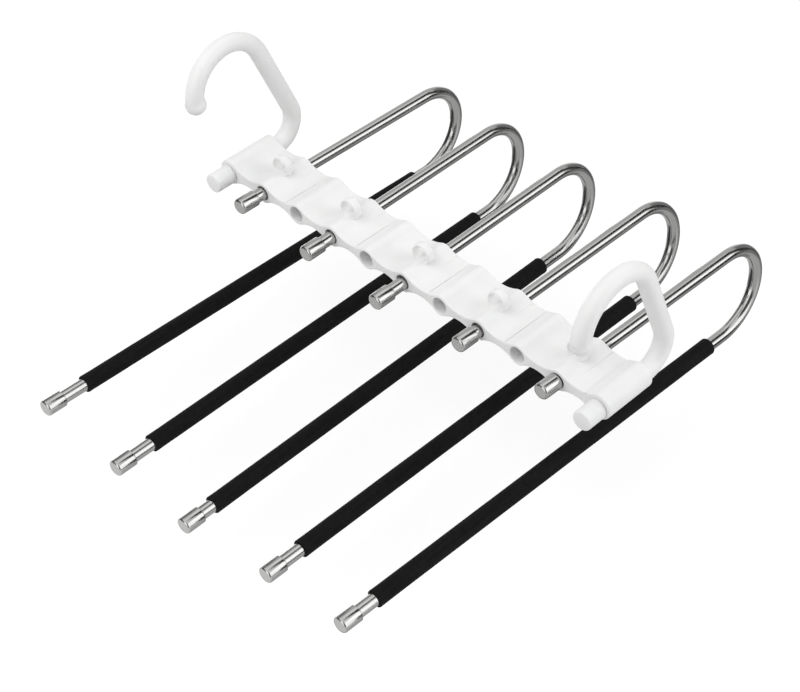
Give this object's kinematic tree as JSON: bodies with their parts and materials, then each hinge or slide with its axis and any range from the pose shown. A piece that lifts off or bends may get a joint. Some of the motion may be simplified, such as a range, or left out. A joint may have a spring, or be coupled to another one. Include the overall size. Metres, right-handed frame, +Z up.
{
  "type": "multi-tier trouser hanger",
  "caption": "Trouser hanger with swinging U-bent steel bars in foam sleeves, on a white moulded spine that hangs from a wardrobe rail by a swivelling hook at each end.",
  "frame": {"origin": "where the wardrobe rail bears under the two hooks' crowns, midway between the hooks", "axes": "+X along the spine from the left hook to the right hook, +Y along the bars towards their bends, +Z up"},
  "size_m": [0.3424, 0.393, 0.1744],
  "materials": {
    "white_plastic": "white moulded plastic, satin",
    "stainless_steel": "polished stainless tube with fine drawing lines",
    "black_foam": "matt black closed-cell foam"
  },
  "bodies": {
    "spine": {"spine": "white_plastic"},
    "rod_1": {"rod_tube_1": "stainless_steel", "arm_end_cap_1": "stainless_steel", "free_end_cap_1": "stainless_steel", "foam_sleeve_1": "black_foam"},
    "rod_2": {"rod_tube_2": "stainless_steel", "arm_end_cap_2": "stainless_steel", "free_end_cap_2": "stainless_steel", "foam_sleeve_2": "black_foam"},
    "rod_3": {"rod_tube_3": "stainless_steel", "arm_end_cap_3": "stainless_steel", "free_end_cap_3": "stainless_steel", "foam_sleeve_3": "black_foam"},
    "rod_4": {"rod_tube_4": "stainless_steel", "arm_end_cap_4": "stainless_steel", "free_end_cap_4": "stainless_steel", "foam_sleeve_4": "black_foam"},
    "rod_5": {"rod_tube_5": "stainless_steel", "arm_end_cap_5": "stainless_steel", "free_end_cap_5": "stainless_steel", "foam_sleeve_5": "black_foam"},
    "left_hook": {"hook_left": "white_plastic", "hook_end_cap_left": "white_plastic"},
    "right_hook": {"hook_right": "white_plastic", "hook_end_cap_right": "white_plastic"}
  },
  "joints": [
    {"name": "rod_1_swing", "type": "hinge", "parent": "spine", "child": "rod_1", "pos_m": [-0.128, 0.01101, -0.08815], "axis": [0.0059, 0.9999, -0.0138], "range_deg": [-59.1, 60.9]},
    {"name": "rod_2_swing", "type": "hinge", "parent": "spine", "child": "rod_2", "pos_m": [-0.064, 0.01101, -0.08816], "axis": [-0.0136, 0.9999, -0.0042], "range_deg": [-57.3, 62.7]},
    {"name": "rod_3_swing", "type": "hinge", "parent": "spine", "child": "rod_3", "pos_m": [0, 0.01101, -0.08823], "axis": [-0.0058, 0.9999, 0.0099], "range_deg": [-56.2, 63.8]},
    {"name": "rod_4_swing", "type": "hinge", "parent": "spine", "child": "rod_4", "pos_m": [0.064, 0.01101, -0.08821], "axis": [0.0084, 0.9999, 0.0081], "range_deg": [-53.8, 66.2]},
    {"name": "rod_5_swing", "type": "hinge", "parent": "spine", "child": "rod_5", "pos_m": [0.128, 0.01101, -0.08798], "axis": [0.0227, 0.9997, 0.0057], "range_deg": [-56.2, 63.8]},
    {"name": "left_hook_swivel", "type": "hinge", "parent": "spine", "child": "left_hook", "pos_m": [-0.16, 0.01101, -0.08885], "axis": [0, 1, 0], "range_deg": [-175.6, 64.4]},
    {"name": "right_hook_swivel", "type": "hinge", "parent": "spine", "child": "right_hook", "pos_m": [0.16, 0.01101, -0.08885], "axis": [0, 1, 0], "range_deg": [-59.4, 180.6]}
  ]
}
